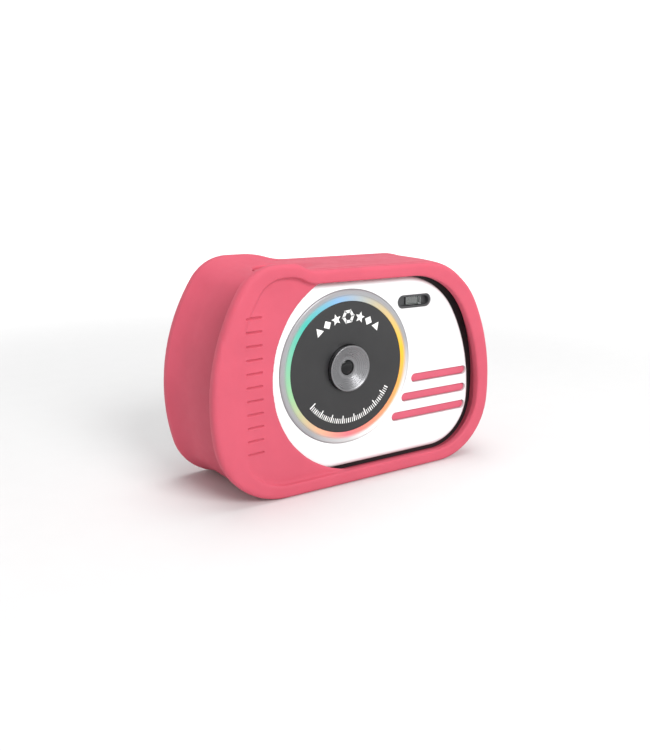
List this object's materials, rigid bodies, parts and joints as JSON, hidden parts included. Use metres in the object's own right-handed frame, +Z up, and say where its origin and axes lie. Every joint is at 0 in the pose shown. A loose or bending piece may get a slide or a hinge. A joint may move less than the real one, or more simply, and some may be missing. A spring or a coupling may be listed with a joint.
{
  "type": "kids digital camera",
  "caption": "Chunky compact camera for children in a soft silicone sleeve, with a large round lens badge, striped white face, rear screen, keypad and hinged side socket door.",
  "frame": {"origin": "middle of the base that the camera stands on", "axes": "+X to the right seen from the front, -Y out of the lens, +Z up"},
  "size_m": [0.0956, 0.0334, 0.0637],
  "materials": {
    "pink_silicone": "soft matte moulded silicone",
    "black_plastic": "fine satin moulded plastic",
    "white_plastic": "polished moulded plastic",
    "pink_plastic": "satin moulded plastic",
    "disc_black": "satin printed plastic",
    "silver_ring": "satin metallised",
    "rainbow": "iridescent hue changing round the ring",
    "spun_metal": "concentric spun grooves",
    "clear_glass": "clear",
    "dark_glass": "smoked screen window",
    "grey_key": "satin key caps",
    "brass_bush": "machined",
    "screw_steel": "zinc plated",
    "board_green": "solder mask",
    "chip_black": "moulded epoxy",
    "battery_foil": "foil pouch",
    "foam_pad": "closed cell foam",
    "flex_amber": "polyimide film",
    "lamp_yellow": "phosphor",
    "display_grey": "display stack"
  },
  "bodies": {
    "camera_body": {"silicone_sleeve": "pink_silicone", "front_shell": "black_plastic", "rear_shell": "black_plastic", "face_plate": "white_plastic", "lower_stripe": "pink_plastic", "middle_stripe": "pink_plastic", "upper_stripe": "pink_plastic", "lens_ring": "silver_ring", "rainbow_ring": "rainbow", "lens_disc": "disc_black", "lens_cone": "spun_metal", "front_glass": "clear_glass", "lens_barrel": "black_plastic", "front_element": "clear_glass", "rear_element": "clear_glass", "sensor_holder": "black_plastic", "infrared_filter": "clear_glass", "image_sensor": "chip_black", "sensor_board": "board_green", "sensor_flex": "flex_amber", "flash_bezel": "black_plastic", "flash_window": "clear_glass", "flash_lamp": "lamp_yellow", "flash_board": "board_green", "screen_window": "dark_glass", "display_panel": "display_grey", "main_board": "board_green", "processor_chips": "chip_black", "battery": "battery_foil", "battery_pad": "foam_pad", "speaker": "black_plastic", "microphone": "spun_metal", "key_domes": "screw_steel", "shutter_switch": "chip_black", "shutter_board": "board_green", "door_pin": "screw_steel", "port_board": "board_green", "usb_socket": "screw_steel", "card_socket": "screw_steel", "memory_card": "chip_black", "tripod_bush": "brass_bush", "case_screws": "screw_steel", "board_screws": "screw_steel"},
    "up_key": {"up_key": "grey_key"},
    "right_key": {"right_key": "grey_key"},
    "down_key": {"down_key": "grey_key"},
    "left_key": {"left_key": "grey_key"},
    "ok_button": {"ok_button": "pink_plastic"},
    "power_button": {"power_button": "grey_key"},
    "menu_button": {"menu_button": "grey_key"},
    "play_button": {"play_button": "grey_key"},
    "shutter_button": {"shutter_button": "pink_silicone"},
    "port_door": {"port_door": "pink_plastic"}
  },
  "joints": [
    {"name": "shutter_press", "type": "slide", "parent": "camera_body", "child": "shutter_button", "axis": [0, 0, -1], "range_m": [0, 0.0008], "stiffness_N_per_m": 500},
    {"name": "up_press", "type": "slide", "parent": "camera_body", "child": "up_key", "axis": [0, -1, 0], "range_m": [0, 0.0005], "stiffness_N_per_m": 500},
    {"name": "right_press", "type": "slide", "parent": "camera_body", "child": "right_key", "axis": [0, -1, 0], "range_m": [0, 0.0005], "stiffness_N_per_m": 500},
    {"name": "down_press", "type": "slide", "parent": "camera_body", "child": "down_key", "axis": [0, -1, 0], "range_m": [0, 0.0005], "stiffness_N_per_m": 500},
    {"name": "left_press", "type": "slide", "parent": "camera_body", "child": "left_key", "axis": [0, -1, 0], "range_m": [0, 0.0005], "stiffness_N_per_m": 500},
    {"name": "ok_press", "type": "slide", "parent": "camera_body", "child": "ok_button", "axis": [0, -1, 0], "range_m": [0, 0.0005], "stiffness_N_per_m": 500},
    {"name": "power_press", "type": "slide", "parent": "camera_body", "child": "power_button", "axis": [0, -1, 0], "range_m": [0, 0.0005], "stiffness_N_per_m": 500},
    {"name": "menu_press", "type": "slide", "parent": "camera_body", "child": "menu_button", "axis": [0, -1, 0], "range_m": [0, 0.0005], "stiffness_N_per_m": 500},
    {"name": "play_press", "type": "slide", "parent": "camera_body", "child": "play_button", "axis": [0, -1, 0], "range_m": [0, 0.0005], "stiffness_N_per_m": 500},
    {"name": "port_door_hinge", "type": "hinge", "parent": "camera_body", "child": "port_door", "pos_m": [0.0446, 0.0056, 0.022], "axis": [0, 0, 1], "range_deg": [0, 90]}
  ]
}
